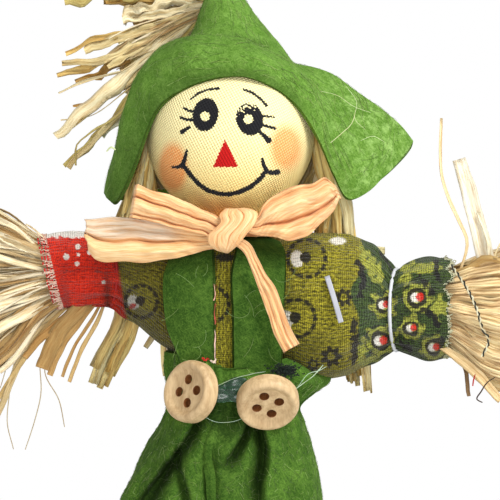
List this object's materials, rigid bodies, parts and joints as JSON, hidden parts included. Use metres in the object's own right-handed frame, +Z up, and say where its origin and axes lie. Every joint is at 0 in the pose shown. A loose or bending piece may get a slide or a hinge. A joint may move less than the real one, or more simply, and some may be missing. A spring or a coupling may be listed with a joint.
{
  "type": "scarecrow figure",
  "caption": "Small craft scarecrow on a wooden stake, with a floppy felt hat, printed sleeves, felt dungarees, raffia hair and hands, a neck bow and wooden waist buttons.",
  "frame": {"origin": "centre of the small flat face at the stake's lower end", "axes": "+Z up along the stake, -Y the way the face looks, +X to the viewer's right"},
  "size_m": [0.1525, 0.0563, 0.2875],
  "materials": {
    "wood": "bare turned hardwood, lightly sanded",
    "button_wood": "bare turned wood, fine grain, satin",
    "felt": "thick pressed craft felt, mottled green, matt",
    "hat_felt": "thick pressed craft felt, light mottled green, matt",
    "print_cloth": "ribbed cotton print, olive with small flowers and dashed rings, matt",
    "red_print_cloth": "open-weave cotton print, red with white dots, matt",
    "face_cloth": "fine woven cotton, cream, printed face and orange blush, matt",
    "raffia": "dry natural raffia ribbons, straw yellow with brown edges, slight sheen",
    "bow_raffia": "crinkled paper raffia, apricot, slight sheen",
    "thread": "twisted white polyester thread",
    "wadding": "white polyester wadding",
    "ball_foam": "white expanded foam",
    "glue": "clear hot-melt glue, glossy",
    "tag_plastic": "grey tag fastener, satin"
  },
  "bodies": {
    "torso": {"stake": "wood", "shirt_body": "print_cloth", "body_stuffing": "wadding", "brace_left": "felt", "brace_right": "felt", "trousers_seat": "felt", "hips_stuffing": "wadding", "waist_tie": "thread", "button_left": "button_wood", "button_right": "button_wood", "glue_bead": "glue", "bow_knot": "bow_raffia", "bow_neck_band": "bow_raffia", "bow_loop_left": "bow_raffia", "bow_loop_right": "bow_raffia", "bow_tail_left": "bow_raffia", "bow_tail_right": "bow_raffia", "hair_fall_left": "raffia", "hair_fall_back": "raffia", "hair_fall_right": "raffia"},
    "head": {"head_ball": "ball_foam", "head_cloth": "face_cloth", "neck_thread": "thread", "hair_cap": "raffia", "hat": "hat_felt", "tuft_tie": "thread", "tuft_straw": "raffia"},
    "left_arm": {"sleeve_left": "red_print_cloth", "hand_straw_left": "raffia", "wrist_tie_left": "thread"},
    "right_arm": {"sleeve_right": "print_cloth", "hand_straw_right": "raffia", "wrist_tie_right": "thread", "tag_bar": "tag_plastic"},
    "left_leg": {"trouser_leg_left": "felt", "foot_straw_left": "raffia", "ankle_tie_left": "thread"},
    "right_leg": {"trouser_leg_right": "felt", "foot_straw_right": "raffia", "ankle_tie_right": "thread"}
  },
  "joints": [
    {"name": "head_turn", "type": "hinge", "parent": "torso", "child": "head", "pos_m": [0, 0, 0.2475], "axis": [0, 0, 1], "range_deg": [-8, 15]},
    {"name": "left_shoulder", "type": "hinge", "parent": "torso", "child": "left_arm", "pos_m": [-0.0155, 0, 0.2083], "axis": [0, 1, 0], "range_deg": [-8, 20]},
    {"name": "right_shoulder", "type": "hinge", "parent": "torso", "child": "right_arm", "pos_m": [0.014, 0, 0.207], "axis": [0, -1, 0], "range_deg": [-8, 20]},
    {"name": "left_hip", "type": "hinge", "parent": "torso", "child": "left_leg", "pos_m": [-0.014, 0, 0.132], "axis": [1, 0, 0], "range_deg": [-40, 20]},
    {"name": "right_hip", "type": "hinge", "parent": "torso", "child": "right_leg", "pos_m": [0.014, 0, 0.132], "axis": [1, 0, 0], "range_deg": [-40, 20]}
  ]
}
